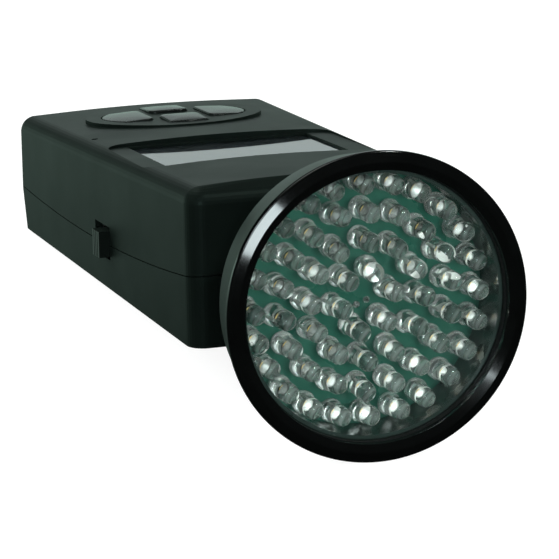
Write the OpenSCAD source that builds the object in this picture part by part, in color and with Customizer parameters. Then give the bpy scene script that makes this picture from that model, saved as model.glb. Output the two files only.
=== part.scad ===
// Hand-held LED stroboscope: a round lamp head in front of a two-shell body
// with a sunken display, four keys, a slide switch and a battery door.
// Lengths in millimetres, Z up, the lamp head looks along -Y.

/* [Lamp head] */
// Outside diameter of the bezel ring
head_d = 82; // [74:0.5:88]
// Width of the ring's front lip
ring_lip = 5; // [4.5:0.1:5.4]
// Depth of the ring's outer edge
ring_t = 2.2; // [1.8:0.1:2.6]
// Depth of the ring where it presses on the window
lip_t = 2.8; // [2.7:0.1:3.4]
// Wall of the bell round the window
barrel_t = 2.6; // [2:0.1:2.8]
// Width of the ring's inner slope, from the lip to the ridge
lip_bevel = 2.2; // [1:0.1:2.6]
// Fall of that slope
lip_bevel_t = 0.8; // [0.5:0.1:1.6]
// Fall of the ring's face from the ridge to the outer edge
face_fall = 0.9; // [0.2:0.1:1.2]
// Radius on the outer edge of the ring
ring_edge_r = 0.5; // [0.3:0.1:0.6]
// How far the bell stays inside the ring's outer edge
ring_step = 0.2; // [0.1:0.1:0.5]
// Thickness of the clear window
window_t = 1.8; // [1.2:0.1:2.2]
// Thickness of the rubber seal
seal_t = 0.8; // [0.5:0.1:1.2]
// Depth of the lamp board's face behind the ring's face
board_depth = 17.8; // [17:0.1:18.6]
// Thickness of the lamp board
lamp_board_t = 1.6; // [1:0.1:2]
// Wall of the spacer sleeve
sleeve_t = 0.9; // [0.7:0.1:1.1]
// How far the sleeve stays inside the ring's lip
sleeve_in = 0.5; // [0.4:0.1:0.8]
// Wall of the bell
head_wall = 2; // [1.8:0.1:2.4]
// How far the bell starts to narrow before that board's back
waist_lead = 1.4; // [0.6:0.1:2]
// Width of the ledge behind the lamp board
ledge_w = 2.4; // [1.6:0.1:3]
// Diameter of the bell where it meets the body
bell_d = 36; // [33:0.5:37]
// Diameter of the spigot through the body's front wall
spigot_d = 27; // [22:0.5:28]
// Diameter of the flange that holds the spigot
flange_d = 31; // [30:0.5:32]
// Thickness of that flange
flange_t = 2.2; // [1.6:0.1:3]
// Diameter of the wire passage through the spigot
passage_d = 18; // [12:0.5:20]

/* [Lamps] */
// Diameter of a lamp
lamp_d = 5.3; // [4.8:0.1:5.4]
// Diameter of a lamp's foot
lamp_foot_d = 6.3; // [5.8:0.1:6.6]
// Height of a lamp's foot
lamp_foot_t = 1; // [0.6:0.1:1.4]
// Height of a lamp above the board
lamp_h = 11.5; // [9:0.1:12]
// Distance of the outer lamps' middles from the ring's outer edge
lamp_margin = 9.6; // [9.4:0.1:10.6]
// Turn of the inner ring of lamps
turn_1 = 12.5; // [-30:0.5:30]
// Turn of the second ring of lamps
turn_2 = -2; // [-15:0.5:15]
// Turn of the third ring of lamps
turn_3 = 7.5; // [-10:0.5:10]
// Turn of the outer ring of lamps
turn_4 = 0.5; // [-7:0.5:7]
// Diameter of a lead joint on the lamp board
joint_d = 1.8; // [1.2:0.1:2]
// Height of a lead joint
joint_h = 1.1; // [0.8:0.1:1.5]
// Diameter of a lead joint's tip
joint_tip_d = 0.7; // [0.4:0.1:1]
// Distance between the two lead joints
joint_gap = 3; // [2.4:0.1:3.4]
// Turn of the pair of lead joints
joint_turn = 21; // [0:1:60]
// Place of the pair beside the board's middle
joint_side = 1.1; // [0.4:0.1:1.4]
// Place of the pair below the board's middle
joint_drop = 2; // [0.8:0.1:2.2]

/* [Body] */
// Distance from the ring's face to the body's front wall
body_gap = 51.5; // [47:0.5:60]
// Length of the body
body_length = 163; // [147:1:175]
// Width of the body at the front
front_w = 70; // [69:0.5:74]
// Width of the body at the back
back_w = 80.6; // [79:0.1:83]
// Depth of the underside below the head's axis at the front
floor_drop = 19.3; // [19:0.1:21]
// Rise of the underside from front to back
floor_rise = 3.4; // [2:0.1:4]
// Height of the deck above the head's axis at the front
front_rise = 24.5; // [24:0.1:27]
// Height of the deck above the head's axis at the back
back_rise = 18.1; // [17.4:0.1:20]
// Radius on the upright and upper edges
body_round = 4.8; // [4.2:0.1:5.4]
// How far the back wall leans in at its lower end
back_lean = 5; // [2:0.5:5.5]
// Depth below the head's axis at which the back wall starts to lean in
lean_drop = 3; // [0:0.5:6]
// Height of the deck's crown in the middle
deck_crown = 1; // [0.4:0.1:1.2]
// Wall of the shells
wall = 2.4; // [2.2:0.1:2.6]

/* [Joint line] */
// Radius of the joint line's curve, seen from the side
seam_r = 850; // [700:10:1000]
// Distance of its lowest point behind the body's front wall
seam_back = 100; // [95:1:106]
// Depth of that point below the head's axis
seam_drop = 5.2; // [4.8:0.1:5.6]
// Width of the visible groove between the shells
seam_gap = 0.3; // [0.2:0.05:0.6]
// Height of the lip that centres the shells
seam_lip = 1.5; // [1:0.1:2]
// Clearance beside and above that lip
lip_gap = 0.1; // [0.05:0.05:0.2]

/* [Display] */
// Distance of the display's middle behind the body's front wall
display_back = 64; // [63:0.5:65]
// Width of the sunken field round the display
field_w = 68; // [62:0.1:68]
// Length of the sunken field
field_l = 45; // [43:0.5:46]
// Radius of the sunken field's corners
field_r = 6; // [3:0.5:8]
// Depth of the sunken field below the deck's edges
field_depth = 0.65; // [0.4:0.05:0.7]
// Width of the display opening
opening_w = 54.6; // [46:0.1:55]
// Length of the display opening
opening_l = 42; // [34:0.5:42]
// Depth of the clear plate's top below the deck's edges
plate_depth = 1.3; // [1.2:0.05:1.5]
// Thickness of the clear plate
plate_t = 0.8; // [0.6:0.1:1.2]
// How far the clear plate and panel reach beyond the opening
plate_margin = 2.4; // [1.5:0.1:2.5]
// Thickness of the display panel
panel_t = 2.4; // [1.8:0.1:2.8]
// Rim of the carrier under the display panel
carrier_rim = 4.4; // [3:0.1:6]

/* [Keypad] */
// Distance of the keypad's middle from the body's back end
keypad_end = 34; // [33:0.5:35]
// Half width of the raised island
island_a = 27; // [26.5:0.1:28]
// Half length of the raised island
island_b = 22; // [21.5:0.1:22.4]
// End radius of the island
island_end_r = 16; // [12:0.5:17]
// Height of the island above the deck's edges
island_rise = 1.5; // [1.4:0.1:2]
// Depth of the island's seat below the deck's edges
island_seat = 1; // [0.8:0.1:1.1]
// Half width of the group of keys
key_a = 22; // [20:0.1:22.5]
// Half length of the group of keys
key_b = 17; // [16:0.1:17.4]
// Radius on the inner corners of a key
key_corner_r = 2; // [1:0.1:2.5]
// End radius of the group of keys
key_end_r = 12; // [9:0.5:14]
// Half width of the upper and lower keys
bar_half_w = 6; // [5:0.1:6.2]
// Distance of the side keys from the middle line
side_key_x = 8.8; // [8.4:0.1:10]
// Half of the gap between the upper and lower keys
bar_key_y = 4.2; // [3.4:0.1:5.5]
// Length of the side keys along the body
side_key_l = 19; // [14:0.5:22]
// Height of the keys above the deck's edges
key_rise = 2.7; // [2.5:0.1:3.2]
// Radius of the domed key tops
key_dome_r = 280; // [200:10:400]
// How far a key's flange reaches under the island
key_flange = 0.9; // [0.6:0.1:1]
// Thickness of a key's flange
key_flange_t = 1.2; // [0.8:0.1:1.4]
// Room round the key flanges in the upper shell
flange_room = 0.5; // [0.3:0.1:0.6]
// Diameter of a key's stem
stem_d = 4; // [3:0.1:4.5]
// How far a stem reaches into its contact
stem_in = 1; // [0.5:0.1:1.2]
// Clearance round moving pieces
move_gap = 0.3; // [0.3:0.05:0.4]

/* [Circuit board] */
// Depth of the main board's top below the deck's edges
main_depth = 9; // [8.5:0.1:9.5]
// Thickness of the main board
main_t = 1.6; // [1:0.1:2]
// Width of the main board
main_w = 64; // [60:0.5:65]
// How far the main board reaches in front of the display
main_front = 8; // [7.5:0.1:10]
// How far the main board reaches behind the keypad
main_behind = 2; // [1.5:0.1:2.4]
// Side of a key contact
contact_w = 7; // [6.8:0.1:8]
// Height of a key contact
contact_h = 3.5; // [3:0.1:3.6]
// Diameter of the posts that carry the main board
board_post_d = 4.4; // [3.6:0.1:5]
// Distance of these posts from the board's ends
board_post_in = 3.5; // [3:0.1:4]
// Side place of these posts
board_post_x = 24.5; // [24:0.1:26]
// Diameter of the status light
status_d = 1.9; // [1.5:0.1:2.2]
// Length of the status light
status_l = 3; // [2.6:0.1:3.6]
// Distance of the status light from the body's edge
status_in = 5.7; // [5:0.1:6.5]
// Distance of the status light in front of the keypad's middle
status_front = 28; // [27:0.5:29]

/* [Slide switch] */
// Distance of the knob's rest place in front of the battery tray
knob_front = 25.4; // [23.6:0.1:27.6]
// Depth of the knob's middle below the head's axis
knob_drop = 4.4; // [4:0.1:5]
// Length of the knob along the body
knob_l = 6; // [5:0.1:7]
// Height of the knob
knob_h = 7.6; // [6.5:0.1:8]
// How far the knob stands out
knob_out = 3.2; // [2.6:0.1:4]
// Width and depth of the knob's grip grooves
knob_groove = 0.5; // [0.3:0.1:0.7]
// Travel of the knob to the back
knob_travel = 7; // [5:0.1:7.5]
// Gap above and below the knob in its slot
slot_border = 1; // [0.6:0.1:1.2]
// How far the keeper plate reaches past the slot
keeper_reach = 1; // [0.6:0.1:1.2]
// Thickness of the keeper plate behind the wall
keeper_t = 1; // [0.8:0.1:1.4]
// Depth of the switch behind the wall
switch_depth = 5; // [4:0.1:6]
// Wall of the switch round the keeper plate
switch_wall = 1; // [0.8:0.1:1.2]

/* [Battery] */
// Diameter of a cell
cell_d = 14.2; // [13.6:0.1:14.4]
// Length of a cell with its tip
cell_l = 50; // [48.5:0.1:50.5]
// Diameter of a cell's tip
cell_tip_d = 5.5; // [4.5:0.1:6]
// Height of a cell's tip
cell_tip_h = 1; // [0.8:0.1:1.4]
// Step from cell to cell
cell_pitch = 15; // [14.8:0.1:15.2]
// Number of cells
cell_count = 4; // [2:1:4]
// Room round the cells
cell_room = 0.4; // [0.3:0.05:0.5]
// Distance of the tray's back from the body's back end
tray_end = 6.6; // [6.3:0.1:6.6]
// Wall of the battery tray
tray_wall = 1.4; // [1.2:0.1:1.5]
// Room for a contact at each end of the cells
contact_room = 2; // [1.8:0.1:2.1]
// Thickness of the contact plates
contact_t = 0.4; // [0.3:0.05:0.6]
// Side of the contact plates
contact_side = 9; // [7:0.1:10]
// Width of the battery door
door_w = 54; // [44:0.5:54.5]
// Thickness of the door's outer plate
door_t = 1.4; // [1.2:0.1:1.5]
// Thickness of the door's guide tongues
tongue_t = 1; // [0.8:0.1:1.1]
// Reach of the guide tongues on each side
tongue_w = 2; // [1.5:0.1:2.1]
// Number of grip grooves on the door
grip_count = 6; // [3:1:8]
// Length of a grip groove
grip_l = 22; // [14:1:40]
// Step from groove to groove
grip_step = 2.4; // [2:0.1:3]
// Width of a grip groove
grip_w = 1; // [0.6:0.1:1.4]
// Depth of a grip groove
grip_depth = 0.5; // [0.3:0.1:0.8]
// Distance of the grooves from the door's back end
grip_back = 12; // [10:0.5:16]

/* [Fastening] */
// Side place of the front screws
screw_front_x = 27.5; // [26.5:0.1:28]
// Side place of the back screws
screw_rear_x = 32.6; // [32.4:0.1:33]
// Distance of the front screws behind the body's front wall
screw_front_back = 15; // [13:0.5:20]
// Clearance between the back screws' posts and the battery tray
screw_tray_gap = 0.2; // [0.1:0.05:0.6]
// Diameter of the screw shank
screw_d = 3; // [2.6:0.1:3.2]
// Diameter of the screw head
screw_head_d = 5.4; // [5:0.1:5.8]
// Height of the screw head
screw_head_h = 2; // [1.6:0.1:2.4]
// Length of a screw below its head
screw_l = 12; // [10:0.5:13]
// Length of the screw head's cross slots
drive_l = 3.2; // [2.6:0.1:3.8]
// Width of the screw head's cross slots
drive_w = 0.8; // [0.6:0.1:1]
// Depth of the screw head's cross slots
drive_depth = 1.1; // [0.8:0.1:1.3]
// Clearance round a screw shank in the lower post
shank_gap = 0.2; // [0.1:0.05:0.3]
// Clearance round a screw head
head_gap = 0.3; // [0.2:0.05:0.4]
// Diameter of the lower screw posts
post_d = 8.4; // [8:0.1:8.5]
// Diameter of the upper screw posts
upper_post_d = 6.4; // [6:0.1:6.6]
// Thickness of post material under the joint line
post_web = 4; // [3:0.1:5]
// Distance of the tripod bush behind the body's front wall
bush_back = 56; // [45:0.5:75]
// Outside diameter of the tripod bush
bush_d = 10; // [9.5:0.1:12]
// Length of the tripod bush
bush_l = 9.5; // [9:0.1:11]
// Wall of the boss round the tripod bush
boss_wall = 2.5; // [2:0.1:3]
// Bore of the tripod bush, for a quarter inch thread
bush_bore_d = 6.35; // [6.35:0.05:6.4]
// Depth of that bore
bush_bore_l = 8; // [7:0.1:8.5]
// Clearance of pieces that are pushed into a seat
seat_gap = 0.05; // [0.02:0.01:0.1]

/* [Hidden] */
$fn = 64;
eps = 0.01;
// Overlap of cutting bodies and of posts that grow out of a wall
sink = 1;
// Size of bodies that cut everything on one side
far = 400;

// Lamp head
head_r = head_d / 2;
lip_r = head_r - ring_lip;
barrel_r = head_r - ring_step - barrel_t;
window_r = barrel_r - seat_gap;
window_y = lip_t;
seal_y = window_y + window_t;
step_y = seal_y + seal_t;
sleeve_r = lip_r - sleeve_in;
pocket_r = sleeve_r + seat_gap;
ledge_y = board_depth + lamp_board_t;
lamp_turn = [turn_1, turn_2, turn_3, turn_4];
lamp_pitch = (head_r - lamp_margin) / len(lamp_turn);

// Body
body_y = body_gap;
body_end = body_gap + body_length;
side_slope = (back_w - front_w) / 2 / body_length;
side_angle = atan(side_slope);
deck_slope = (front_rise - back_rise) / body_length;
deck_angle = atan(deck_slope);
floor_slope = floor_rise / body_length;
floor_angle = atan(floor_slope);
seam_y = body_y + seam_back;
seam_z0 = seam_r - seam_drop;
lip_inset = wall / 2;
function half_w(y) = front_w / 2 + side_slope * (y - body_y);
function deck_z(y) = front_rise - deck_slope * (y - body_y);
function floor_z(y) = floor_slope * (y - body_y) - floor_drop;
function seam_z(y) = seam_z0 - sqrt(seam_r * seam_r - (y - seam_y) * (y - seam_y));

// Display, keypad and board
display_y = body_y + display_back;
keypad_y = body_end - keypad_end;
plate_w = opening_w + 2 * plate_margin;
plate_l = opening_l + 2 * plate_margin;
panel_depth = plate_depth + plate_t;
carrier_t = main_depth - panel_depth - panel_t;
main_y0 = display_y - plate_l / 2 - main_front;
main_y1 = keypad_y + island_b + main_behind;
status_y = keypad_y - status_front;

// Slide switch
slot_l = knob_l + knob_travel + 2 * move_gap;
slot_h = knob_h + 2 * slot_border;
keeper_l = knob_l + 2 * keeper_reach;
keeper_h = slot_h + 2 * keeper_reach;

// Battery and fastening
tray_in_l = cell_l + 2 * contact_room;
tray_in_w = cell_pitch * (cell_count - 1) + cell_d + 2 * cell_room;
tray_out_l = tray_in_l + 2 * tray_wall;
tray_y = body_end - tray_end - tray_out_l;
knob_y = tray_y - knob_front;
screw_rear_y = tray_y - screw_tray_gap - post_d / 2;
tray_z0 = door_t + tongue_t + move_gap;
tray_in_z = tray_z0 + cell_d + 2 * cell_room;
cell_z = tray_z0 + cell_room + cell_d / 2;
bush_y = body_y + bush_back;
screw_places = [for (s = [-1, 1]) [s * screw_front_x, body_y + screw_front_back],
    for (s = [-1, 1]) [s * screw_rear_x, screw_rear_y]];

// Moves the model so that it stands on z = 0 with its middle at the origin
module place() {
    translate([0, -body_end / 2, head_r]) children();
}

// Turns an outline of radius and depth about the head's axis
module turned() {
    rotate([-90, 0, 0]) rotate_extrude($fn = 128) children();
}

// Puts children on the deck's plane at distance y from the ring's face
module on_deck(y) {
    translate([0, y, deck_z(y)]) rotate([-deck_angle, 0, 0]) children();
}

// Puts children on the underside's plane at distance y from the ring's face
module on_floor(y) {
    translate([0, y, floor_z(y)]) rotate([floor_angle, 0, 0]) children();
}

// Puts children on the left wall: X into the body, Y to the back
module on_wall(y, z) {
    translate([-half_w(y), y, z]) rotate([0, 0, side_angle]) children();
}

// Box that is centred in X and Y and starts at z0
module slab(w, l, z0, h) {
    translate([-w / 2, -l / 2, z0]) cube([w, l, h]);
}

// Rectangle with round corners
module round_rect(w, l, r) {
    square([w - 2 * r, l], center = true);
    square([w, l - 2 * r], center = true);
    for (x = [-1, 1], y = [-1, 1]) {
        translate([x * (w / 2 - r), y * (l / 2 - r)]) circle(r);
    }
}

// Oval of four tangent arcs: half width a, half length b, end radius r
module oval(a, b, r) {
    k = ((a - r) * (a - r) - (b - r) * (b - r)) / (2 * (b - r));
    big = b + k;
    touch = (a - r) * big / (big - r);
    for (s = [-1, 1]) translate([s * (a - r), 0]) circle(r);
    intersection() {
        translate([0, -k]) circle(big, $fn = 128);
        translate([0, k]) circle(big, $fn = 128);
        square([2 * touch, 2 * b], center = true);
    }
}

// Smooth outer form of the body, drawn in by an inset; the crown is on the outside only
module body_form(inset) {
    r = body_round - inset;
    steps = 6;
    difference() {
        hull() {
            for (s = [-1, 1], e = [0, 1]) {
                y = e == 0 ? body_y + body_round : body_end - body_round;
                foot_y = e == 0 ? y : y - back_lean;
                w = half_w(y) - body_round;
                translate([s * w, y, deck_z(y) - body_round]) sphere(r, $fn = 32);
                translate([s * (half_w(foot_y) - body_round), foot_y, -floor_drop - 2 * sink])
                    cylinder(r = r, h = sink, $fn = 32);
                if (e == 1) {
                    translate([s * w, y, -lean_drop - sink]) cylinder(r = r, h = sink, $fn = 32);
                }
                if (inset == 0) {
                    translate([0, y, deck_z(y)]) rotate([90, 0, 0]) linear_extrude(eps)
                        polygon([for (i = [-steps:steps])
                            [w * i / steps, deck_crown * (1 - i * i / steps / steps)]]);
                }
            }
        }
        on_floor(body_y) slab(far, 2 * far, inset - far, far);
    }
}

// Everything above the joint line, raised by a given height
module above_seam(raise) {
    translate([0, seam_y, seam_z0]) rotate([0, 90, 0])
        cylinder(r = seam_r - raise, h = far, center = true, $fn = 720);
}

// Hole for the head's spigot in the front wall
module spigot_hole() {
    translate([0, body_y - sink, 0]) rotate([-90, 0, 0])
        cylinder(d = spigot_d + 2 * seat_gap, h = wall + 2 * sink);
}

// Slot for the slide knob
module knob_slot() {
    on_wall(knob_y + knob_travel / 2, -knob_drop)
        translate([-sink, -slot_l / 2, -slot_h / 2]) cube([wall + 2 * sink, slot_l, slot_h]);
}

// Puts children at each screw, at the height of the joint line
module at_screws() {
    for (p = screw_places) translate([p[0], p[1], seam_z(p[1])]) children();
}

// Puts children at the posts that carry the main board
module at_board_posts() {
    for (s = [-1, 1], y = [main_y0 + board_post_in, main_y1 - board_post_in]) {
        on_deck(y) translate([s * board_post_x, 0, 0]) children();
    }
}

module upper_shell() {
    key_room = key_flange + flange_room;
    color("#2b302f") difference() {
        union() {
            difference() {
                intersection() {
                    body_form(0);
                    above_seam(0);
                }
                body_form(wall);
                difference() {
                    body_form(lip_inset - lip_gap);
                    above_seam(seam_lip + lip_gap);
                }
            }
            for (p = screw_places) {
                translate([p[0], p[1], seam_z(p[1])])
                    cylinder(d = upper_post_d, h = deck_z(p[1]) - wall + sink / 2 - seam_z(p[1]));
            }
            at_board_posts() translate([0, 0, -main_depth])
                cylinder(d = board_post_d, h = main_depth - wall + sink / 2);
        }
        on_deck(display_y) {
            translate([0, 0, -field_depth]) linear_extrude(far) round_rect(field_w, field_l, field_r);
            slab(opening_w, opening_l, -main_depth, 2 * main_depth);
            slab(plate_w + 2 * seat_gap, plate_l + 2 * seat_gap, -main_depth, main_depth - plate_depth);
        }
        on_deck(keypad_y) {
            translate([0, 0, -island_seat]) linear_extrude(far)
                oval(island_a + seat_gap, island_b + seat_gap, island_end_r + seat_gap);
            translate([0, 0, -main_depth]) linear_extrude(2 * main_depth)
                oval(key_a + key_room, key_b + key_room, key_end_r + key_room);
        }
        on_deck(status_y) translate([status_in - half_w(status_y), 0, -main_depth])
            cylinder(d = status_d + 2 * seat_gap, h = 2 * main_depth);
        at_screws() translate([0, 0, -eps])
            cylinder(d = screw_d + 2 * seat_gap, h = screw_l - post_web + sink);
        spigot_hole();
        knob_slot();
    }
}

module lower_shell() {
    way_l = body_end - tray_y + far;
    color("#272c2b") difference() {
        union() {
            difference() {
                union() {
                    difference() {
                        body_form(0);
                        above_seam(-seam_gap);
                    }
                    difference() {
                        body_form(lip_inset);
                        above_seam(seam_lip);
                    }
                }
                body_form(wall);
            }
            for (p = screw_places) {
                post_z = floor_z(p[1]) + wall / 2;
                translate([p[0], p[1], post_z]) cylinder(d = post_d, h = seam_z(p[1]) - post_z);
            }
            on_floor(bush_y) translate([0, 0, wall / 2])
                cylinder(d = bush_d + 2 * boss_wall, h = bush_l + sink - wall / 2);
        }
        at_screws() {
            translate([0, 0, -far]) cylinder(d = screw_d + 2 * shank_gap, h = far + sink);
            translate([0, 0, -far - post_web]) cylinder(d = screw_head_d + 2 * head_gap, h = far);
        }
        on_floor(bush_y) translate([0, 0, -sink])
            cylinder(d = bush_d + 2 * seat_gap, h = bush_l + sink + seat_gap);
        on_floor(tray_y) translate([0, tray_wall + way_l / 2, 0]) {
            slab(door_w + 2 * move_gap, way_l, -sink, wall + 2 * sink);
            slab(door_w + 2 * tongue_w + 2 * move_gap, way_l, door_t - move_gap, wall);
        }
        spigot_hole();
        knob_slot();
    }
}

module head_housing() {
    waist_r = pocket_r + head_wall;
    waist_y = ledge_y - waist_lead;
    bell_y = body_y - seat_gap;
    spigot_y = body_y + wall + seat_gap;
    rake = (waist_r - bell_d / 2) / (bell_y - waist_y);
    in_y = bell_y - head_wall;
    in_t = head_wall * sqrt(1 + rake * rake);
    color("#232726") turned() polygon([
        [barrel_r, ring_t], [head_r - ring_step, ring_t], [waist_r, waist_y], [bell_d / 2, bell_y],
        [spigot_d / 2, bell_y], [spigot_d / 2, spigot_y], [flange_d / 2, spigot_y],
        [flange_d / 2, spigot_y + flange_t], [passage_d / 2, spigot_y + flange_t], [passage_d / 2, in_y],
        [waist_r - rake * (in_y - waist_y) - in_t, in_y], [pocket_r - ledge_w, ledge_y + head_wall],
        [pocket_r - ledge_w, ledge_y], [pocket_r, ledge_y], [pocket_r, step_y], [barrel_r, step_y]]);
}

module bezel_ring() {
    e = ring_edge_r;
    color("#0b0c0d") turned() {
        polygon([[lip_r, lip_bevel_t], [lip_r + lip_bevel, 0], [head_r - e, face_fall],
            [head_r, face_fall + e], [head_r, ring_t], [window_r, ring_t], [window_r, lip_t], [lip_r, lip_t]]);
        translate([head_r - e, face_fall + e]) circle(e);
    }
}

module front_window() {
    color("#d5e3e2", 0.25) translate([0, window_y, 0]) rotate([-90, 0, 0])
        cylinder(r = window_r, h = window_t, $fn = 128);
}

module window_seal() {
    color("#1a1a1a") turned() translate([lip_r, seal_y]) square([window_r - lip_r, seal_t]);
}

module spacer_sleeve() {
    color("#5f6b68") turned() translate([sleeve_r - sleeve_t, seal_y])
        square([sleeve_t, board_depth - seal_y]);
}

module lamp_board() {
    color("#1f7a57") translate([0, board_depth, 0]) rotate([-90, 0, 0])
        cylinder(r = sleeve_r, h = lamp_board_t, $fn = 128);
}

// One lamp with its foot at the origin and its dome along Z
module lamp() {
    difference() {
        cylinder(d = lamp_foot_d, h = lamp_foot_t, $fn = 32);
        translate([lamp_d / 2, -lamp_d, -sink]) cube([lamp_d, 2 * lamp_d, lamp_foot_t + 2 * sink]);
    }
    cylinder(d = lamp_d, h = lamp_h - lamp_d / 2, $fn = 32);
    translate([0, 0, lamp_h - lamp_d / 2]) sphere(d = lamp_d, $fn = 32);
}

module lamps() {
    color("#dfe8e4", 0.6) for (k = [1:4], i = [0:6 * k - 1]) {
        rotate([0, -lamp_turn[k - 1] - i * 60 / k, 0]) translate([k * lamp_pitch, board_depth, 0])
            rotate([90, 0, 0]) lamp();
    }
}

module lead_joints() {
    color("#c9cdd0") translate([joint_side, board_depth, -joint_drop]) for (s = [0, 180]) {
        rotate([0, -joint_turn - s, 0]) translate([joint_gap / 2, 0, 0]) rotate([90, 0, 0]) {
            cylinder(d = joint_d, h = joint_h / 2);
            translate([0, 0, joint_h / 2]) cylinder(d1 = joint_d, d2 = joint_tip_d, h = joint_h / 2);
        }
    }
}

module display_window() {
    color("#c9d2d4", 0.3) on_deck(display_y) slab(plate_w, plate_l, -panel_depth, plate_t);
}

module display_panel() {
    color("#a9b4b5") on_deck(display_y) slab(plate_w, plate_l, -panel_depth - panel_t, panel_t);
}

module display_carrier() {
    color("#d8d8d2") on_deck(display_y) difference() {
        slab(plate_w, plate_l, -main_depth, carrier_t);
        slab(plate_w - 2 * carrier_rim, plate_l - 2 * carrier_rim, -main_depth - sink, main_depth);
    }
}

// Outline of one key, widened by a margin; kind 0 right, 1 up, 2 left, 3 down
module key_outline(kind, grow) {
    s = kind < 2 ? 1 : -1;
    intersection() {
        oval(key_a + grow, key_b + grow, key_end_r + grow);
        if (kind % 2 == 0) {
            translate([s * (side_key_x - grow + key_a), 0])
                round_rect(2 * key_a, side_key_l + 2 * grow, key_corner_r + grow);
        } else {
            translate([0, s * (bar_key_y - grow + key_a)])
                round_rect(2 * (bar_half_w + grow), 2 * key_a, key_corner_r + grow);
        }
    }
}

// Place of the middle of a key
function key_mid(kind) = kind % 2 == 0
    ? [(kind == 0 ? 1 : -1) * (side_key_x + key_a) / 2, 0]
    : [0, (kind == 1 ? 1 : -1) * (bar_key_y + key_b) / 2];

module key(kind) {
    top = -island_seat - move_gap;
    foot = contact_h - main_depth - stem_in;
    on_deck(keypad_y) {
        intersection() {
            translate([0, 0, top - key_flange_t]) linear_extrude(far) key_outline(kind, 0);
            translate([0, 0, key_rise - key_dome_r]) sphere(key_dome_r, $fn = 200);
        }
        translate([0, 0, top - key_flange_t]) linear_extrude(key_flange_t) key_outline(kind, key_flange);
        translate([key_mid(kind)[0], key_mid(kind)[1], foot])
            cylinder(d = stem_d, h = top - key_flange_t / 2 - foot);
    }
}

module key_right() {
    color("#303635") key(0);
}

module key_up() {
    color("#303635") key(1);
}

module key_left() {
    color("#303635") key(2);
}

module key_down() {
    color("#303635") key(3);
}

module keypad_island() {
    color("#2e3433") on_deck(keypad_y) difference() {
        translate([0, 0, -island_seat]) linear_extrude(island_seat + island_rise)
            oval(island_a, island_b, island_end_r);
        for (kind = [0:3]) {
            translate([0, 0, -island_seat - sink]) linear_extrude(far) key_outline(kind, move_gap);
        }
    }
}

module key_contacts() {
    color("#3a3d40") on_deck(keypad_y) for (kind = [0:3]) {
        translate([key_mid(kind)[0], key_mid(kind)[1], 0]) difference() {
            slab(contact_w, contact_w, -main_depth, contact_h);
            translate([0, 0, -main_depth - sink]) cylinder(d = stem_d + 2 * move_gap, h = main_depth);
        }
    }
}

module main_board() {
    color("#1d6b45") difference() {
        on_deck((main_y0 + main_y1) / 2) slab(main_w, main_y1 - main_y0, -main_depth - main_t, main_t);
        at_screws() cylinder(d = upper_post_d + 2 * move_gap, h = far);
    }
}

module status_light() {
    color("#101214") on_deck(status_y) translate([status_in - half_w(status_y), 0, -status_l])
        cylinder(d = status_d, h = status_l);
}

module switch_knob() {
    color("#8b918f") on_wall(knob_y, -knob_drop) {
        difference() {
            translate([-knob_out, -knob_l / 2, -knob_h / 2])
                cube([knob_out + wall + move_gap, knob_l, knob_h]);
            for (i = [-1:1]) {
                translate([-knob_out - sink, i * knob_l / 4 - knob_groove / 2, -knob_h])
                    cube([sink + knob_groove, knob_groove, 2 * knob_h]);
            }
        }
        translate([wall + move_gap, -keeper_l / 2, -keeper_h / 2]) cube([keeper_t, keeper_l, keeper_h]);
    }
}

module switch_body() {
    pocket_t = keeper_t + 2 * move_gap;
    pocket_l = keeper_l + knob_travel + 2 * move_gap;
    pocket_h = keeper_h + 2 * move_gap;
    l = pocket_l + 2 * switch_wall;
    h = pocket_h + 2 * switch_wall;
    color("#b9bcbc") on_wall(knob_y + knob_travel / 2, -knob_drop) difference() {
        translate([wall, -l / 2, -h / 2]) cube([switch_depth, l, h]);
        translate([wall - sink, -pocket_l / 2, -pocket_h / 2]) cube([sink + pocket_t, pocket_l, pocket_h]);
    }
}

module battery_tray() {
    side_x = (tray_in_w + tray_wall) / 2;
    color("#222526") on_floor(tray_y) translate([0, tray_out_l / 2, 0]) difference() {
        union() {
            slab(tray_in_w + 2 * tray_wall, tray_out_l, tray_z0, tray_in_z + tray_wall - tray_z0);
            for (s = [-1, 1]) {
                translate([s * side_x, 0, 0]) slab(tray_wall, tray_out_l, wall, tray_in_z - wall);
            }
        }
        slab(tray_in_w, tray_in_l, 0, tray_in_z);
    }
}

// Puts children at each cell, with the flat end at y = 0; every second cell is turned round
module at_cells() {
    on_floor(tray_y) for (i = [0:cell_count - 1]) {
        translate([(i - (cell_count - 1) / 2) * cell_pitch, tray_wall + contact_room, cell_z])
            rotate([0, 0, i % 2 * 180]) translate([0, -i % 2 * cell_l, 0]) children();
    }
}

module cells() {
    color("#2f5f8a") at_cells() rotate([-90, 0, 0]) {
        cylinder(d = cell_d, h = cell_l - cell_tip_h);
        cylinder(d = cell_tip_d, h = cell_l);
    }
}

module cell_contacts() {
    color("#c3c6c8") at_cells() {
        translate([-contact_side / 2, -contact_room, -contact_side / 2])
            cube([contact_side, contact_t, contact_side]);
        translate([0, -contact_room, 0]) rotate([-90, 0, 0])
            cylinder(d1 = contact_side, d2 = cell_tip_d, h = contact_room);
        translate([-contact_side / 2, cell_l, -contact_side / 2])
            cube([contact_side, contact_room, contact_side]);
    }
}

module battery_door() {
    start = tray_wall + move_gap;
    l = body_end - tray_y - start;
    color("#242928") intersection() {
        on_floor(tray_y) translate([0, start + l / 2, 0]) difference() {
            union() {
                slab(door_w, l, 0, door_t + tongue_t);
                slab(door_w + 2 * tongue_w, l, door_t, tongue_t);
            }
            for (i = [0:grip_count - 1]) {
                translate([0, l / 2 - grip_back - grip_step * i, 0])
                    slab(grip_l, grip_w, -sink, sink + grip_depth);
            }
        }
        body_form(0);
    }
}

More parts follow.
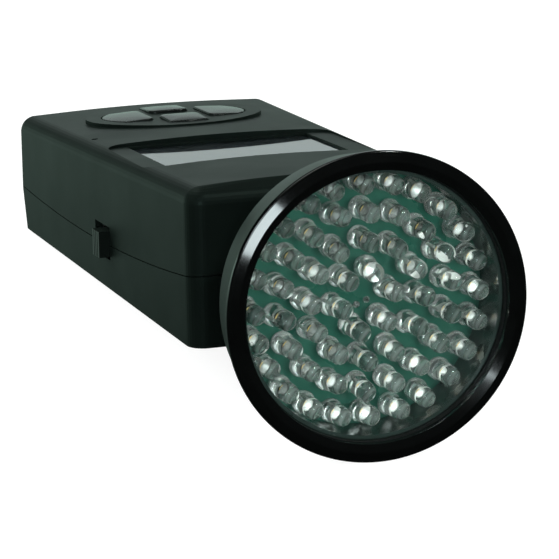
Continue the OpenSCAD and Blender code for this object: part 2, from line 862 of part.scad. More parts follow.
module shell_screws() {
    color("#6f7375") at_screws() translate([0, 0, -post_web]) difference() {
        union() {
            translate([0, 0, -screw_head_h]) cylinder(d = screw_head_d, h = screw_head_h);
            cylinder(d = screw_d, h = screw_l);
        }
        for (a = [0, 90]) {
            rotate([0, 0, a]) slab(drive_l, drive_w, -screw_head_h - sink, sink + drive_depth);
        }
    }
}

module tripod_bush() {
    color("#b08d4f") on_floor(bush_y) difference() {
        cylinder(d = bush_d, h = bush_l);
        translate([0, 0, -sink]) cylinder(d = bush_bore_d, h = bush_bore_l + sink);
    }
}

place() upper_shell();
place() lower_shell();
place() head_housing();
place() bezel_ring();
place() front_window();
place() window_seal();
place() spacer_sleeve();
place() lamp_board();
place() lamps();
place() lead_joints();
place() display_window();
place() display_panel();
place() display_carrier();
place() keypad_island();
place() key_up();
place() key_down();
place() key_left();
place() key_right();
place() key_contacts();
place() main_board();
place() status_light();
place() switch_knob();
place() switch_body();
place() battery_tray();
place() cells();
place() cell_contacts();
place() battery_door();
place() shell_screws();
place() tripod_bush();
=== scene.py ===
"""Looks for the stroboscope: moulded plastics, clear lamps with their insides, display and studio."""

import math
import random

import bmesh
import bpy
from bpy.props import FloatProperty, FloatVectorProperty, IntProperty, PointerProperty
from mathutils import Matrix, Vector


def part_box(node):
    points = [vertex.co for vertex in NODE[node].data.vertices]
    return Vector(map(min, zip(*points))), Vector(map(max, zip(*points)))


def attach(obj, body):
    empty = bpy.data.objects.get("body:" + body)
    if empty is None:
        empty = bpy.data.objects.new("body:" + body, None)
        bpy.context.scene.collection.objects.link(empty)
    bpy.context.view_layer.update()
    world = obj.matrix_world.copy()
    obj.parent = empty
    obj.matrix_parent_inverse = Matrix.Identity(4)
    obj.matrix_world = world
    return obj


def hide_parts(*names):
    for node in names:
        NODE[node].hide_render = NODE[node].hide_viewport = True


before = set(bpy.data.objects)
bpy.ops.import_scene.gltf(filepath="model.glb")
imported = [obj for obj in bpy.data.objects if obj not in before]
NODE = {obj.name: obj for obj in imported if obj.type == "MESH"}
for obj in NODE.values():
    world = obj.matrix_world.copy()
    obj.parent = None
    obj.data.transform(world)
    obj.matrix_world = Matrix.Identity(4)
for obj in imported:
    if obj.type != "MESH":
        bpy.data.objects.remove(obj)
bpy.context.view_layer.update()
HOUSING = "housing"
KEYS = ("key_up", "key_down", "key_left", "key_right")
MM = 0.001
WELD = 1e-6

bl_info = {
    "name": "Stroboscope looks",
    "version": (1, 0, 0),
    "blender": (4, 5, 0),
    "location": "3D View > Sidebar > Stroboscope",
    "description": "Finishes, lamp insides and studio for the stroboscope",
    "category": "Object",
}


# Settings

def colour(title, text, default):
    return FloatVectorProperty(
        name=title, description=text, default=default, size=3, subtype="COLOR", min=0, max=1)


def length(title, text, default):
    return FloatProperty(
        name=title, description=text, default=default * MM, min=0, unit="LENGTH", precision=5)


class StrobeFinish(bpy.types.PropertyGroup):
    shell: colour("Shell", "Moulded body plastic", (0.0055, 0.0085, 0.0072))
    bell: colour("Bell", "Plastic of the lamp head", (0.0060, 0.0088, 0.0078))
    sheen: colour("Sheen", "Tint of the light on the satin plastic", (0.72, 1.0, 0.88))
    ring: colour("Ring", "Polished ring round the window", (0.0016, 0.0018, 0.0018))
    sleeve: colour("Sleeve", "Wall round the lamps", (0.018, 0.028, 0.025))
    board: colour("Lamp board", "Solder mask under the lamps", (0.015, 0.077, 0.054))
    epoxy: colour("Lamp epoxy", "Clear body of a lamp", (0.93, 0.97, 0.95))
    panel: colour("Display", "Face of the display", (0.012, 0.014, 0.018))
    key: colour("Keys", "Plastic of the four keys", (0.007, 0.0085, 0.008))
    knob: colour("Knob", "Plastic of the slide knob", (0.0060, 0.0090, 0.0075))


class StrobeSizes(bpy.types.PropertyGroup):
    lens_steps: IntProperty(
        name="Lens steps", description="Sides of a round lamp", default=28, min=12, max=64)
    lamp_lean: FloatProperty(
        name="Lamp lean", description="Largest lean of a hand-set lamp", default=math.radians(4.5),
        min=0, max=math.radians(6), subtype="ANGLE")
    cup_radius: length("Cup radius", "Radius of the reflector in a lamp", 0.8)
    cup_height: length("Cup height", "Height of the reflector's rim above the board", 6.2)
    lead_width: length("Lead width", "Thickness of a lamp's lead plates", 0.5)
    key_edge: length("Key edge", "Radius on the border of a key's top", 0.45)
    key_dome: length("Key dome", "Rise of the middle of a key's top", 0.3)
    ring_steps: IntProperty(
        name="Ring steps", description="Sides of the round ring", default=200, min=48, max=400)
    ring_depth: length("Ring depth", "Depth of the ring's outer wall behind its front plane", 2.2)
    ring_fall: length("Ring fall", "Fall of the ring's face towards its outer edge", 0.9)
    ring_edge: length("Ring edge", "Radius of the ring's outer edge", 0.5)
    lip_bevel: length("Lip bevel", "Width of the slope inside the ring's ridge", 2.2)
    lip_drop: length("Lip drop", "Depth of that slope", 0.8)


class StrobeStage(bpy.types.PropertyGroup):
    floor_size: FloatProperty(
        name="Floor size", description="Side of the floor", default=12, min=2, unit="LENGTH")
    lens: FloatProperty(name="Lens", description="Focal length in millimetres", default=226.2, min=20)
    tint: colour("Light tint", "Colour of the lights", (0.93, 1.0, 0.965))
    key_power: FloatProperty(name="Key light", description="Power of the overhead light", default=5, min=0)
    left_power: FloatProperty(name="Left light", description="Power of the left light", default=10, min=0)
    front_power: FloatProperty(
        name="Front light", description="Power of the light behind the camera", default=4.0, min=0)
    spot_power: FloatProperty(name="Small light", description="Power of the small light", default=6, min=0)
    head_power: FloatProperty(
        name="Head light", description="Power of the light in front of the lamps", default=15, min=0)
    fill_power: FloatProperty(
        name="Fill lights", description="Power of each light behind the object", default=30, min=0)


def settings():
    return bpy.context.scene.strobe


# Finishes

def link(owner, source, target):
    owner.node_tree.links.new(source, target)


def set_sockets(node, **values):
    """Sets inputs of a node; an underscore stands for a space in an input's name."""
    for socket, value in values.items():
        node.inputs[socket.replace("_", " ")].default_value = value


def add_node(owner, kind, **values):
    node = owner.node_tree.nodes.new("ShaderNode" + kind)
    set_sockets(node, **values)
    return node


def shader_of(mat):
    return mat.node_tree.nodes["Principled BSDF"]


def new_finish(name, base, rough, **values):
    mat = bpy.data.materials.new(name)
    mat.use_nodes = True
    set_sockets(shader_of(mat), Base_Color=(*base, 1), Roughness=rough, **values)
    return mat


def noise(mat, scale, detail=3.0):
    place = add_node(mat, "TexCoord")
    cloud = add_node(mat, "TexNoise", Scale=scale, Detail=detail)
    link(mat, place.outputs["Object"], cloud.inputs["Vector"])
    return cloud.outputs["Fac"]


def spread(owner, fac, low, high, start=0.3, end=0.7):
    """Runs from low to high while a value runs from start to end."""
    reach = add_node(owner, "MapRange", From_Min=start, From_Max=end, To_Min=low, To_Max=high)
    link(owner, fac, reach.inputs["Value"])
    return reach.outputs["Result"]


def mottle(mat, scale, dark, light):
    """Varies the base colour between two factors of itself."""
    base = shader_of(mat).inputs["Base Color"]
    ramp = add_node(mat, "ValToRGB")
    tone = base.default_value[:3]
    for stop, at, factor in zip(ramp.color_ramp.elements, (0.3, 0.7), (dark, light)):
        stop.position = at
        stop.color = (*(min(c * factor, 1) for c in tone), 1)
    link(mat, noise(mat, scale), ramp.inputs["Fac"])
    link(mat, ramp.outputs["Color"], base)


def uneven_gloss(mat, scale, low, high):
    link(mat, spread(mat, noise(mat, scale, 4.0), low, high), shader_of(mat).inputs["Roughness"])


def grain(mat, scale, strength, depth=0.05 * MM):
    """Fine bumps in the skin of a moulded or drawn surface."""
    bump = add_node(mat, "Bump", Strength=strength, Distance=depth)
    link(mat, noise(mat, scale, 2.0), bump.inputs["Height"])
    link(mat, bump.outputs["Normal"], shader_of(mat).inputs["Normal"])


def dress(mat, *names):
    for name in names:
        slots = NODE[name].data.materials
        if not slots:
            slots.append(mat)
        for i in range(len(slots)):
            slots[i] = mat


def moulded(name, base, rough, grain_scale=2600, strength=0.08, sheen=(1, 1, 1), level=0.5):
    """Plastic from a spark-textured mould: fine grain, faint clouds in colour and gloss."""
    mat = new_finish(name, base, rough, Specular_Tint=(*sheen, 1), Specular_IOR_Level=level)
    mottle(mat, 90, 0.9, 1.1)
    uneven_gloss(mat, 60, rough - 0.02, rough + 0.02)
    grain(mat, grain_scale, strength)
    return mat


def polished(name, base, rough, **values):
    mat = new_finish(name, base, rough, **values)
    mottle(mat, 120, 0.9, 1.1)
    uneven_gloss(mat, 60, rough * 0.7, rough * 1.5)
    return mat


def metal(name, base, rough, metallic=1.0):
    mat = new_finish(name, base, rough, Metallic=metallic)
    mottle(mat, 700, 0.85, 1.1)
    uneven_gloss(mat, 900, rough * 0.7, rough * 1.5)
    grain(mat, 1800, 0.15, 0.02 * MM)
    return mat


def clear(name, base, rough, ior):
    mat = new_finish(name, base, rough, Transmission_Weight=1.0, IOR=ior)
    mottle(mat, 60, 0.97, 1.02)
    uneven_gloss(mat, 180, rough * 0.5, rough * 1.5)
    return mat


def tone_by_mark(mat, name, dark, light):
    """Base colour from a value that the mesh carries."""
    mark = add_node(mat, "Attribute")
    mark.attribute_name = name
    ramp = add_node(mat, "ValToRGB")
    for stop, tone in zip(ramp.color_ramp.elements, (dark, light)):
        stop.color = (*tone, 1)
    link(mat, mark.outputs["Fac"], ramp.inputs["Fac"])
    link(mat, ramp.outputs["Color"], shader_of(mat).inputs["Base Color"])


def milky_foot_and_painted_rims(mat, start, end):
    """Makes a clear finish milky where the depth along Y passes from start to end, and milky at its edges
    as a painted highlight on the lamps' rims.
    """
    shader = shader_of(mat)
    place = add_node(mat, "TexCoord")
    split = add_node(mat, "SeparateXYZ")
    link(mat, place.outputs["Object"], split.inputs[0])
    deep = split.outputs["Y"]
    link(mat, spread(mat, deep, 0.02, 0.1, start, end), shader.inputs["Roughness"])
    # Painted highlight: less transmission at grazing angles lights up the rims in place of light guided
    # inside the epoxy
    edge = add_node(mat, "LayerWeight", Blend=0.5)
    least = add_node(mat, "Math")
    least.operation = "MINIMUM"
    link(mat, spread(mat, deep, 0.98, 0.85, start, end), least.inputs[0])
    link(mat, spread(mat, edge.outputs["Facing"], 0.98, 0.2, 0.8, 0.97), least.inputs[1])
    link(mat, least.outputs[0], shader.inputs["Transmission Weight"])


# Meshes

def add_piece(name, bm, mat, body, smooth=True):
    for face in bm.faces:
        face.smooth = smooth
    mesh = bpy.data.meshes.new(name)
    bm.to_mesh(mesh)
    bm.free()
    mesh.materials.append(mat)
    piece = bpy.data.objects.new(name, mesh)
    bpy.context.collection.objects.link(piece)
    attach(piece, body)
    return piece


def quarter(step):
    """Angles of a quarter turn, a step of whole degrees apart."""
    return [math.radians(degree) for degree in range(0, 91, step)]


def turned(bm, outline, steps):
    """Spins an outline of (radius, height) about +Z into a closed form."""
    verts = [bm.verts.new((r, 0, h)) for r, h in outline]
    edges = [bm.edges.new(pair) for pair in zip(verts, verts[1:])]
    bmesh.ops.spin(bm, geom=verts + edges, cent=(0, 0, 0), axis=(0, 0, 1),
                   angle=math.tau, steps=steps, use_merge=True)
    bmesh.ops.remove_doubles(bm, verts=bm.verts, dist=WELD)
    bmesh.ops.recalc_face_normals(bm, faces=bm.faces)


def merged_copy(node):
    """A node's mesh as a bmesh whose loose triangles are joined."""
    bm = bmesh.new()
    bm.from_mesh(NODE[node].data)
    bmesh.ops.remove_doubles(bm, verts=bm.verts, dist=WELD)
    return bm


def islands(node):
    """Boxes of the separate solids in a node."""
    bm = merged_copy(node)
    seen, boxes = set(), []
    for first in bm.verts:
        if first in seen:
            continue
        group, todo = [], [first]
        seen.add(first)
        while todo:
            vert = todo.pop()
            group.append(vert.co)
            for edge in vert.link_edges:
                other = edge.other_vert(vert)
                if other not in seen:
                    seen.add(other)
                    todo.append(other)
        low = Vector([min(c[i] for c in group) for i in range(3)])
        high = Vector([max(c[i] for c in group) for i in range(3)])
        boxes.append((low, high))
    bm.free()
    return sorted(boxes, key=lambda b: (round(b[0].z, 5), round(b[0].x, 5)))


def copies(make, places):
    """One bmesh with a copy of a small mesh at each place."""
    bm = bmesh.new()
    for place in places:
        part = bmesh.new()
        make(part)
        bmesh.ops.transform(part, matrix=place, verts=part.verts)
        mesh = bpy.data.meshes.new("part")
        part.to_mesh(mesh)
        part.free()
        bm.from_mesh(mesh)
        bpy.data.meshes.remove(mesh)
    return bm


def rounded_top(node, edge, dome):
    """Copy of a node's mesh whose top has rounded borders and a low dome."""
    bm = merged_copy(node)
    bmesh.ops.dissolve_limit(bm, angle_limit=math.radians(2), verts=bm.verts, edges=bm.edges)
    tops = [face for face in bm.faces if face.normal.z > 0.9]
    if not tops:
        raise RuntimeError(f"{node} has no top face")
    top = max(tops, key=lambda face: face.calc_center_median().z)
    up = top.normal.copy()
    middle = top.calc_center_bounds()
    reach = max((vert.co - middle).length for vert in top.verts)
    # Each ring is a share of the top's outline and a height over its lowered border
    border = [(1 - edge / reach * (1 - math.cos(a)), edge * math.sin(a)) for a in quarter(15)]
    inner = border[-1][0]
    field = [(inner * share, edge + dome * (1 - share ** 2)) for share in (0.9, 0.75, 0.55, 0.3)]
    rings = border + field
    bmesh.ops.translate(bm, verts=top.verts, vec=-(edge + dome) * up)
    for (size_before, rise_before), (size, rise) in zip(rings, rings[1:]):
        top = bmesh.ops.extrude_discrete_faces(bm, faces=[top])["faces"][0]
        bmesh.ops.scale(bm, verts=top.verts, vec=[size / size_before] * 3,
                        space=Matrix.Translation(-top.calc_center_bounds()))
        bmesh.ops.translate(bm, verts=top.verts, vec=(rise - rise_before) * up)
    bmesh.ops.recalc_face_normals(bm, faces=bm.faces)
    return bm


def ring_outline():
    """Section of the ring as (radius, height over its front plane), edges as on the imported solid."""
    sizes = settings().sizes
    low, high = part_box("bezel_ring")
    axis = (low.z + high.z) / 2
    radii = [math.hypot(v.co.x, v.co.z - axis) for v in NODE["bezel_ring"].data.vertices]
    outer, bore = max(radii), min(radii)
    pane_low, pane_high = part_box("front_window")
    seat = (pane_high.x - pane_low.x) / 2
    deep = high.y - low.y
    edge = sizes.ring_edge
    arc = [(outer - edge + edge * math.sin(a), -sizes.ring_fall - edge + edge * math.cos(a))
           for a in quarter(15)]
    ridge = (bore + sizes.lip_bevel, 0)
    # A point close to the arc keeps the face flat up to its rounded edge
    flat_end = Vector(ridge).lerp(Vector(arc[0]), 0.97)
    return [(bore, -deep), (bore, -sizes.lip_drop), ridge, flat_end, *arc,
            (outer, -sizes.ring_depth), (seat, -sizes.ring_depth), (seat, -deep), (bore, -deep)]


def lamp_places():
    """Frames of the lamps: +Z from the board to the tip, outer lamps leaning only inwards."""
    low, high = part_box("lamps")
    middle = (low + high) / 2
    lean = settings().sizes.lamp_lean
    reach = (high.x - low.x) / 2
    draw = random.Random(11)
    places = []
    for box in islands("lamps"):
        centre = (box[0] + box[1]) / 2
        off = centre - middle
        angle = math.atan2(off.z, off.x) + draw.uniform(-0.5, 0.5)
        way = draw.uniform(0, math.tau)
        tip = Matrix.Rotation(draw.uniform(0, lean), 4, (math.cos(way), math.sin(way), 0))
        outwards = math.sin(way) * off.x - math.cos(way) * off.z > 0
        if outwards and math.hypot(off.x, off.z) > 0.8 * reach:
            tip.invert()
        turn = Matrix.Rotation(math.pi / 2, 4, "X") @ tip @ Matrix.Rotation(-angle, 4, "Z")
        places.append(Matrix.Translation((centre.x, high.y, centre.z)) @ turn)
    return places


def lens_outline(tall, foot_r, foot_t):
    """Section of a lamp's clear body: foot with a brim, straight side and dome."""
    body_r = foot_r - 0.5 * MM
    lift = 0.02 * MM
    chamfer, root, edge = 0.1 * MM, 0.12 * MM, 0.3 * MM
    brim = [(foot_r - edge + edge * math.cos(a), foot_t - edge + edge * math.sin(a)) for a in quarter(30)]
    dome = [(body_r * math.cos(a), tall - body_r + body_r * math.sin(a)) for a in quarter(10)]
    dome[-1] = (0, tall)
    return [(0, lift), (foot_r - chamfer, lift), (foot_r, lift + chamfer), *brim,
            (body_r + root, foot_t), (body_r, foot_t + root), *dome]


def cup_outline(radius, rim):
    """Section of a reflector cup on its stem."""
    wall, stem_r = 0.12 * MM, 0.35 * MM
    floor, skirt, foot = rim - 0.5 * MM, rim - 0.9 * MM, rim - 1.6 * MM
    return [(0, floor), (radius * 0.5, floor), (radius, rim), (radius + wall, rim),
            (radius + wall, skirt), (stem_r, foot), (0, foot)]


def chip_outline(rim):
    """Section of the phosphor drop in a cup."""
    top, bottom = rim - 0.3 * MM, rim - 0.48 * MM
    return [(0, top), (0.28 * MM, top), (0.3 * MM, bottom), (0, bottom)]


# Lead plates of a lamp as (across, height) in millimetres
ANVIL = ((-1.5, 0.1), (-1.0, 0.1), (-1.0, 1.8), (0.5, 3.4), (0.7, 5.1), (-1.2, 5.1), (-1.5, 3.0))
POST = ((1.0, 0.1), (1.5, 0.1), (1.7, 2.0), (1.7, 6.0), (1.15, 6.0), (0.9, 3.4), (1.0, 2.0))


def lead_plates(bm, width):
    for plate in (ANVIL, POST):
        verts = [bm.verts.new((x * MM, -width / 2, z * MM)) for x, z in plate]
        face = bm.faces.new(verts)
        deep = bmesh.ops.extrude_face_region(bm, geom=[face])["geom"]
        bmesh.ops.translate(bm, vec=(0, width, 0),
                            verts=[v for v in deep if isinstance(v, bmesh.types.BMVert)])
    bmesh.ops.recalc_face_normals(bm, faces=bm.faces)


def cup_painted_lighting(places):
    """Painted light and shade on each reflector: cups of the hand-set lamps at the lower right are painted
    lit, the others darker, darkest at the upper left where the ring would shade them.
    """
    draw = random.Random(5)
    middle = sum((p.translation for p in places), Vector()) / len(places)
    reach = max((p.translation - middle).length for p in places)
    marks = []
    for place in places:
        off = place.translation - middle
        # Painted shade grows towards the upper left and painted light towards the lower right, with a
        # seeded spread
        along = (off.x - off.z) / (reach * math.sqrt(2))
        marks.append(min(max(0.40 + 0.55 * along + draw.uniform(-0.35, 0.35), 0.03), 1))
    return marks


def mark_copies(mesh, name, marks):
    """Gives the vertices of each copy in a mesh their own value."""
    share = len(mesh.vertices) // len(marks)
    values = [mark for mark in marks for _ in range(share)]
    mesh.attributes.new(name, "FLOAT", "POINT").data.foreach_set("value", values)


# Pieces

class STROBE_OT_shells(bpy.types.Operator):
    """Satin moulded plastic on the two shells and the battery door"""
    bl_idname = "strobe.shells"
    bl_label = "Shells and door"

    def execute(self, context):
        tone = settings().finish
        mat = moulded("shell_plastic", tone.shell, 0.45, sheen=tone.sheen, level=0.13)
        dress(mat, "upper_shell", "lower_shell", "battery_door")
        return {"FINISHED"}


class STROBE_OT_head(bpy.types.Operator):
    """Bell, polished ring, clear window, seal, sleeve and lamp board"""
    bl_idname = "strobe.head"
    bl_label = "Lamp head"

    def execute(self, context):
        tone, sizes = settings().finish, settings().sizes
        bell = moulded("bell_plastic", tone.bell, 0.42, 3200, 0.15, sheen=(0.85, 1.0, 0.93), level=0.15)
        dress(bell, "head_housing")
        gloss = polished("ring_gloss", tone.ring, 0.08, Specular_IOR_Level=0.8)
        bm = bmesh.new()
        turned(bm, ring_outline(), sizes.ring_steps)
        low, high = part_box("bezel_ring")
        front = Matrix.Translation((0, low.y, (low.z + high.z) / 2))
        bmesh.ops.transform(bm, matrix=front @ Matrix.Rotation(math.pi / 2, 4, "X"), verts=bm.verts)
        ring = add_piece("ring_face", bm, gloss, HOUSING)
        ring.data.set_sharp_from_angle(angle=math.radians(20))
        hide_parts("bezel_ring")
        pane = new_finish("window_clear", (0.02, 0.03, 0.027), 0.03, Alpha=0.06)
        uneven_gloss(pane, 90, 0.02, 0.06)
        mottle(pane, 300, 0.9, 1.05)
        dress(pane, "front_window")
        dress(moulded("seal_rubber", (0.010, 0.010, 0.010), 0.75), "window_seal")
        dress(polished("sleeve_gloss", tone.sleeve, 0.22), "spacer_sleeve")
        dress(polished("solder_mask", tone.board, 0.30), "lamp_board")
        dress(metal("solder_tin", (0.74, 0.76, 0.76), 0.22), "lead_joints")
        return {"FINISHED"}


class STROBE_OT_lamps(bpy.types.Operator):
    """Clear lamp bodies with reflector cups and leads inside"""
    bl_idname = "strobe.lamps"
    bl_label = "Lamps"

    def execute(self, context):
        tone, sizes = settings().finish, settings().sizes
        places = lamp_places()
        if len(places) < 2:
            raise RuntimeError("the packed lamps have no separate solids")

        low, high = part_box("lamps")
        first_low, first_high = islands("lamps")[0]
        foot_r, foot_t = (first_high.x - first_low.x) / 2, 1.0 * MM
        outline = lens_outline(high.y - low.y, foot_r, foot_t)
        epoxy = clear("lamp_epoxy", tone.epoxy, 0.02, 1.53)
        # The milky foot is the lamps' own; the milky rims are painted highlights
        milky_foot_and_painted_rims(epoxy, high.y - foot_t - 0.2 * MM, high.y - foot_t + 0.1 * MM)
        bodies = copies(lambda bm: turned(bm, outline, sizes.lens_steps), places)
        lens = add_piece("lamp_lenses", bodies, epoxy, HOUSING)
        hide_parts("lamps")

        cup = cup_outline(sizes.cup_radius, sizes.cup_height)
        # The cups' base colour runs from painted shade to painted highlight by the mark each lamp carries
        gleam = metal("cup_silver", (0.86, 0.86, 0.82), 0.28, 0.6)
        tone_by_mark(gleam, "gleam", (0.05, 0.055, 0.05), (0.92, 0.92, 0.88))
        cups = add_piece("lamp_cups", copies(lambda bm: turned(bm, cup, 16), places), gleam, HOUSING)
        mark_copies(cups.data, "gleam", cup_painted_lighting(places))

        chip = chip_outline(sizes.cup_height)
        phosphor = polished("chip_phosphor", (0.72, 0.47, 0.09), 0.4)
        chips = add_piece("lamp_chips", copies(lambda bm: turned(bm, chip, 8), places), phosphor, HOUSING)

        silver = metal("lead_silver", (0.86, 0.86, 0.82), 0.3, 0.6)
        plates = copies(lambda bm: lead_plates(bm, sizes.lead_width), places)
        lead = add_piece("lamp_leads", plates, silver, HOUSING, smooth=False)
        return {"FINISHED"}


class STROBE_OT_display(bpy.types.Operator):
    """Clear cover, liquid crystal panel and carrier"""
    bl_idname = "strobe.display"
    bl_label = "Display"

    def execute(self, context):
        dress(clear("display_clear", (0.90, 0.94, 0.93), 0.02, 1.49), "display_window")
        dress(polished("display_face", settings().finish.panel, 0.18), "display_panel")
        dress(moulded("carrier_plastic", (0.45, 0.44, 0.41), 0.5), "display_carrier")
        return {"FINISHED"}


class STROBE_OT_keypad(bpy.types.Operator):
    """Raised island, four keys and their contacts"""
    bl_idname = "strobe.keypad"
    bl_label = "Keypad"

    def execute(self, context):
        tone, sizes = settings().finish, settings().sizes
        island = moulded("island_plastic", tone.shell, 0.42, sheen=tone.sheen, level=0.07)
        dress(island, "keypad_island")
        mat = moulded("key_plastic", tone.key, 0.27, 3400, 0.12, level=0.28)
        for key in KEYS:
            cap = add_piece(key + "_cap", rounded_top(key, sizes.key_edge, sizes.key_dome), mat, key)
            cap.data.set_sharp_from_angle(angle=math.radians(30))
            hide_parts(key)
        dress(moulded("contact_box", (0.02, 0.02, 0.022), 0.5), "key_contacts")
        return {"FINISHED"}


class STROBE_OT_switch(bpy.types.Operator):
    """Slide knob, switch case and status light"""
    bl_idname = "strobe.switch"
    bl_label = "Slide switch"

    def execute(self, context):
        tone = settings().finish
        dress(moulded("knob_plastic", tone.knob, 0.3, level=0.35), "switch_knob")
        dress(moulded("switch_case", (0.05, 0.052, 0.05), 0.5), "switch_body")
        lens = polished("status_lens", (0.002, 0.003, 0.003), 0.6, Specular_IOR_Level=0.0)
        dress(lens, "status_light")
        return {"FINISHED"}


class STROBE_OT_inside(bpy.types.Operator):
    """Circuit board, battery tray, cells and contacts"""
    bl_idname = "strobe.inside"
    bl_label = "Inside"

    def execute(self, context):
        dress(polished("circuit_board", (0.01, 0.10, 0.045), 0.3), "main_board")
        dress(moulded("tray_plastic", (0.012, 0.013, 0.013), 0.55), "battery_tray")
        dress(polished("cell_jacket", (0.03, 0.11, 0.25), 0.28), "cells")
        dress(metal("nickel", (0.70, 0.69, 0.66), 0.25), "cell_contacts")
        dress(metal("zinc", (0.42, 0.43, 0.44), 0.32), "shell_screws")
        dress(metal("turned_brass", (0.62, 0.44, 0.18), 0.26), "tripod_bush")
        return {"FINISHED"}


# Stage

# Place and axes of the camera that sees the object as the photograph does
CAMERA_PLACE = (-0.29948, -0.93013, 0.25032)
CAMERA_RIGHT = (0.947712, -0.318520, -0.019748)
CAMERA_UP = (0.089566, 0.206076, 0.974433)
CAMERA_BACK = (-0.306306, -0.925247, 0.223829)

# Name, place, target, side, setting of the power, own tint, whether gloss shows it
LIGHTS = (
    ("front_box", (-0.40, -1.38, 0.36), (0, -0.1, 0.04), 0.34, "front_power", (0.86, 1.0, 1.02), True),
    ("overhead", (-0.3, 0.5, 1.5), (0, 0, 0.04), 1.0, "key_power", None, True),
    ("left_box", (-1.30, -0.45, 0.8), (0, -0.08, 0.04), 0.45, "left_power", None, False),
    ("head_box", (0.22, -1.3, 0.06), (0, -0.1, 0.04), 0.3, "head_power", None, False),
    ("fill_right", (1.1, 0.9, 0.9), (0, 0, 0.04), 0.8, "fill_power", None, False),
    ("fill_left", (-1.0, 1.2, 0.9), (0, 0, 0.04), 0.8, "fill_power", None, False),
    ("small_box", (0.70, -1.0, 1.3), (0, -0.1, 0.04), 0.15, "spot_power", None, True),
)


def aim(place, target):
    """Frame of a lamp at a place that shines at a target."""
    place = Vector(place)
    turn = (Vector(target) - place).to_track_quat("-Z", "Y")
    return Matrix.Translation(place) @ turn.to_matrix().to_4x4()


def soft_light(name, place, target, side, power, tint, in_gloss):
    data = bpy.data.lights.new(name, "AREA")
    data.shape = "RECTANGLE"
    data.size = data.size_y = side
    data.energy = power
    data.color = tint
    lamp = bpy.data.objects.new(name, data)
    lamp.matrix_world = aim(place, target)
    lamp.visible_glossy = in_gloss
    bpy.context.collection.objects.link(lamp)


def rest_slope():
    """Slope of the plane that touches the ring's lowest point and the body's back edge."""
    low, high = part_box("bezel_ring")
    foot = Vector((0, (low.y + high.y) / 2, low.z))
    points = [v.co for v in NODE["lower_shell"].data.vertices]
    return foot, min((p.z - foot.z) / (p.y - foot.y) for p in points if p.y > foot.y + 10 * MM)


def mixed(owner, fac, first, second):
    mix = add_node(owner, "MixShader")
    link(owner, fac, mix.inputs["Fac"])
    link(owner, first, mix.inputs[1])
    link(owner, second, mix.inputs[2])
    return mix.outputs[0]


def floor_finish():
    """White to the camera but for the object's shadow, a fading sheet to gloss, dim to the rest."""
    mat = bpy.data.materials.new("studio_floor")
    mat.use_nodes = True
    mat.node_tree.nodes.clear()
    ray = add_node(mat, "LightPath")
    place = add_node(mat, "TexCoord")
    split = add_node(mat, "SeparateXYZ")
    link(mat, place.outputs["Object"], split.inputs[0])
    away = add_node(mat, "VectorMath")
    away.operation = "LENGTH"
    link(mat, place.outputs["Object"], away.inputs[0])

    pale = add_node(mat, "BsdfDiffuse", Color=(0.20, 0.20, 0.20, 1))
    glow = add_node(mat, "Emission")
    link(mat, spread(mat, away.outputs["Value"], 0.90, 1.0, 0.5, 1.5), glow.inputs["Strength"])
    white = add_node(mat, "AddShader")
    link(mat, pale.outputs[0], white.inputs[0])
    link(mat, glow.outputs[0], white.inputs[1])

    dim = add_node(mat, "BsdfDiffuse", Color=(0.12, 0.12, 0.12, 1))
    sheet = add_node(mat, "Emission", Color=(0.70, 1.0, 0.86, 1))
    link(mat, spread(mat, split.outputs["Y"], 0.0, 0.85, -0.1, 0.35), sheet.inputs["Strength"])
    rest = mixed(mat, ray.outputs["Is Glossy Ray"], dim.outputs[0], sheet.outputs[0])
    out = add_node(mat, "OutputMaterial")
    link(mat, mixed(mat, ray.outputs["Is Camera Ray"], rest, white.outputs[0]), out.inputs["Surface"])
    return mat


def backdrop_world():
    """White to the camera; gloss sees the backdrop behind the object, clear pieces see light from above."""
    world = bpy.data.worlds.new("studio")
    world.use_nodes = True
    world.node_tree.nodes.clear()
    ray = add_node(world, "LightPath")
    way = add_node(world, "TexCoord")
    split = add_node(world, "SeparateXYZ")
    link(world, way.outputs["Generated"], split.inputs[0])
    facing = add_node(world, "VectorMath")
    facing.operation = "DOT_PRODUCT"
    facing.inputs[1].default_value = (0.190, 0.975, 0.110)
    link(world, way.outputs["Generated"], facing.inputs[0])

    room = add_node(world, "Background", Strength=0.22)
    wall = add_node(world, "Background", Color=(0.87, 1.0, 0.98, 1))
    link(world, spread(world, facing.outputs["Value"], 0.01, 0.8, 0.95, 0.985), wall.inputs["Strength"])
    above = add_node(world, "Background", Color=(0.88, 1.0, 1.0, 1))
    link(world, spread(world, split.outputs["Z"], 0.3, 2.8, -0.3, 0.6), above.inputs["Strength"])
    white = add_node(world, "Background", Color=(1, 1, 1, 1))

    seen = mixed(world, ray.outputs["Is Glossy Ray"], room.outputs[0], wall.outputs[0])
    seen = mixed(world, ray.outputs["Is Transmission Ray"], seen, above.outputs[0])
    out = add_node(world, "OutputWorld")
    link(world, mixed(world, ray.outputs["Is Camera Ray"], seen, white.outputs[0]), out.inputs["Surface"])
    return world


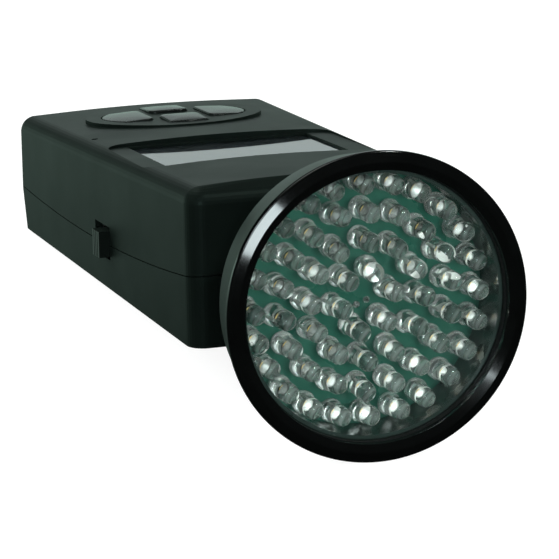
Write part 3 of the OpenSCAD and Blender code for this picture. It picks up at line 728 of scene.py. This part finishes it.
class STROBE_OT_stage(bpy.types.Operator):
    """Camera, floor, backdrop and soft lights"""
    bl_idname = "strobe.stage"
    bl_label = "Studio"

    def execute(self, context):
        studio = settings().stage
        scene = context.scene
        scene.view_settings.view_transform = "Standard"

        data = bpy.data.cameras.new("camera")
        data.lens = studio.lens
        data.sensor_width = 36
        camera = bpy.data.objects.new("camera", data)
        axes = Matrix((CAMERA_RIGHT, CAMERA_UP, CAMERA_BACK)).transposed()
        camera.matrix_world = Matrix.Translation(CAMERA_PLACE) @ axes.to_4x4()
        bpy.context.collection.objects.link(camera)
        scene.camera = camera

        foot, slope = rest_slope()
        bm = bmesh.new()
        bmesh.ops.create_grid(bm, x_segments=1, y_segments=1, size=studio.floor_size / 2)
        tilt = Matrix.Rotation(math.atan(slope), 4, "X")
        bmesh.ops.transform(bm, matrix=Matrix.Translation(foot) @ tilt, verts=bm.verts)
        mesh = bpy.data.meshes.new("floor")
        bm.to_mesh(mesh)
        bm.free()
        mesh.materials.append(floor_finish())
        floor = bpy.data.objects.new("floor", mesh)
        bpy.context.collection.objects.link(floor)

        scene.world = backdrop_world()
        for name, place, target, side, power, tint, in_gloss in LIGHTS:
            soft_light(name, place, target, side, getattr(studio, power), tint or studio.tint, in_gloss)
        return {"FINISHED"}


class StrobeSettings(bpy.types.PropertyGroup):
    finish: PointerProperty(type=StrobeFinish)
    sizes: PointerProperty(type=StrobeSizes)
    stage: PointerProperty(type=StrobeStage)


OPERATORS = (STROBE_OT_stage, STROBE_OT_shells, STROBE_OT_head, STROBE_OT_lamps, STROBE_OT_display,
             STROBE_OT_keypad, STROBE_OT_switch, STROBE_OT_inside)


class STROBE_PT_panel(bpy.types.Panel):
    """Lists the steps that dress the stroboscope"""
    bl_idname = "STROBE_PT_panel"
    bl_label = "Stroboscope"
    bl_space_type = "VIEW_3D"
    bl_region_type = "UI"
    bl_category = "Stroboscope"

    def draw(self, context):
        for step in OPERATORS:
            self.layout.operator(step.bl_idname)
        for group in (settings().finish, settings().sizes, settings().stage):
            for field in group.__annotations__:
                self.layout.prop(group, field)


CLASSES = (StrobeFinish, StrobeSizes, StrobeStage, StrobeSettings, *OPERATORS, STROBE_PT_panel)


def register():
    for cls in CLASSES:
        bpy.utils.register_class(cls)
    bpy.types.Scene.strobe = PointerProperty(type=StrobeSettings)


def unregister():
    del bpy.types.Scene.strobe
    for cls in reversed(CLASSES):
        bpy.utils.unregister_class(cls)


def main():
    register()
    for step in OPERATORS:
        group, name = step.bl_idname.split(".")
        getattr(getattr(bpy.ops, group), name)()


if __name__ == "__main__":
    main()
